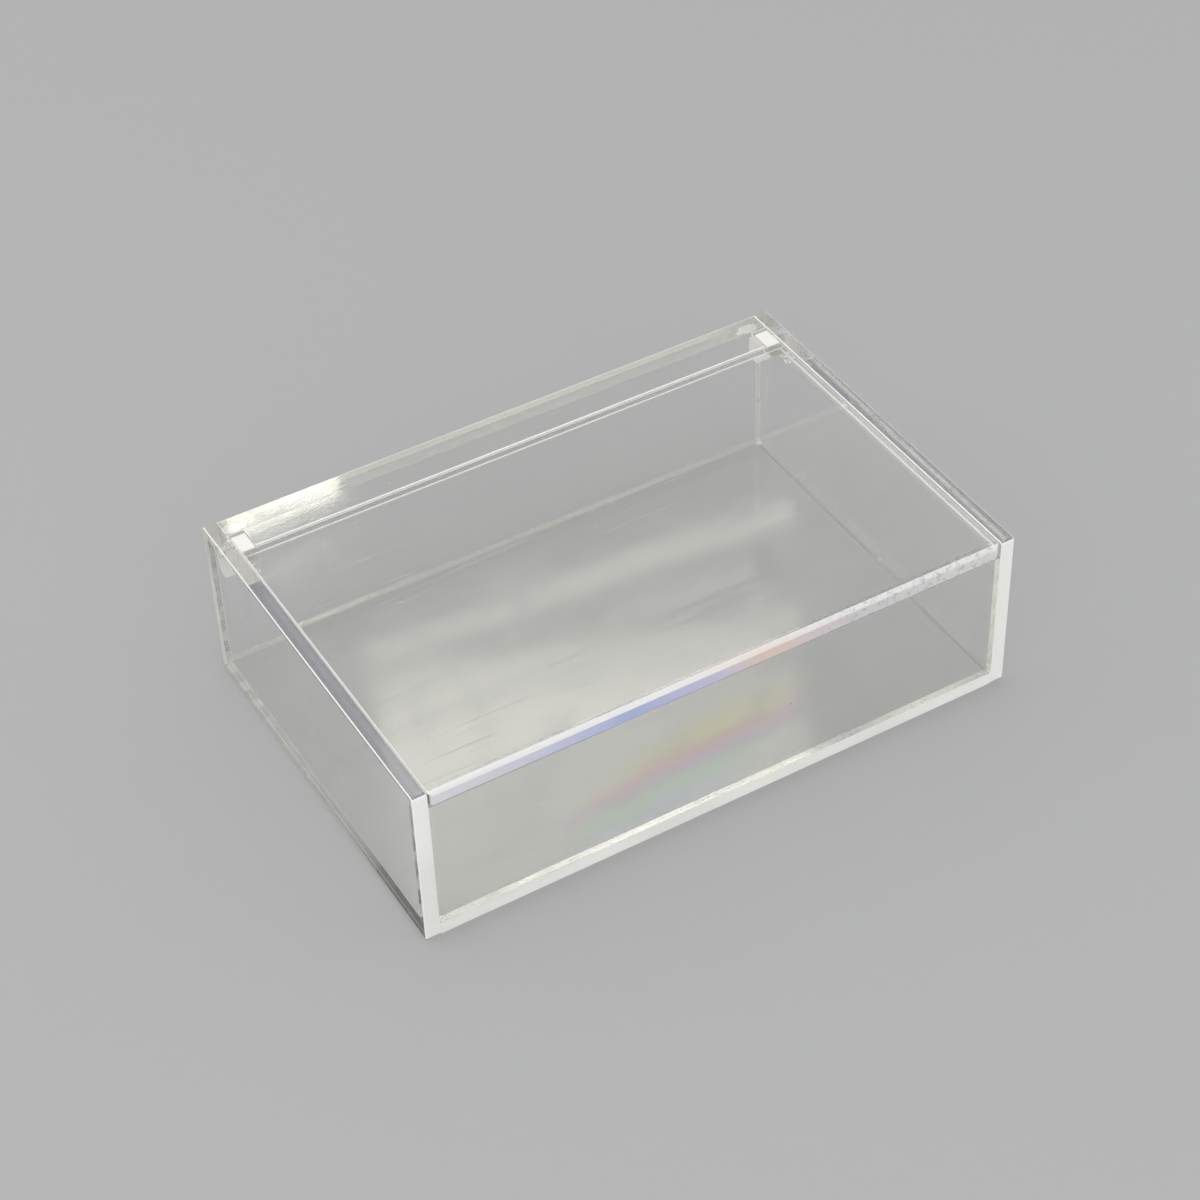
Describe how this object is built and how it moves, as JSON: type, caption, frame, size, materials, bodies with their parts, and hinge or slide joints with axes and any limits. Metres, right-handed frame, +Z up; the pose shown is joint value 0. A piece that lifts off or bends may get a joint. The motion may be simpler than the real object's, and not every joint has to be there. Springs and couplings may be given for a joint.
{
  "type": "acrylic storage box with hinged lid",
  "caption": "Low clear acrylic box cut from flat sheet, with a flush lid that turns on two side pins in front of a fixed rear strip.",
  "frame": {"origin": "centre of the underside, midway between the side walls and between the front and rear faces", "axes": "+Z up, -Y to the front, +X to the right seen from the front; the lid's hinge line runs along X near the rear top edge"},
  "size_m": [0.127, 0.085, 0.036],
  "materials": {
    "clear_acrylic": "clear cast sheet, polished faces and sawn edges",
    "lid_acrylic": "clear cast sheet, polished faces, front edge sawn and part polished",
    "hinge_acrylic": "clear cast sheet, sawn edges",
    "pin_acrylic": "clear extruded rod, ends cut flush"
  },
  "bodies": {
    "box": {"base_panel": "clear_acrylic", "front_wall": "clear_acrylic", "back_wall": "clear_acrylic", "left_wall": "clear_acrylic", "right_wall": "clear_acrylic", "rear_strip": "clear_acrylic", "left_hinge_pin": "pin_acrylic", "right_hinge_pin": "pin_acrylic"},
    "lid": {"lid_panel": "lid_acrylic", "left_hinge_lug": "hinge_acrylic", "right_hinge_lug": "hinge_acrylic"}
  },
  "joints": [
    {"name": "lid_hinge", "type": "hinge", "parent": "box", "child": "lid", "pos_m": [0, 0.0354, 0.0342], "axis": [-1, 0, 0], "range_deg": [0, 115]}
  ]
}
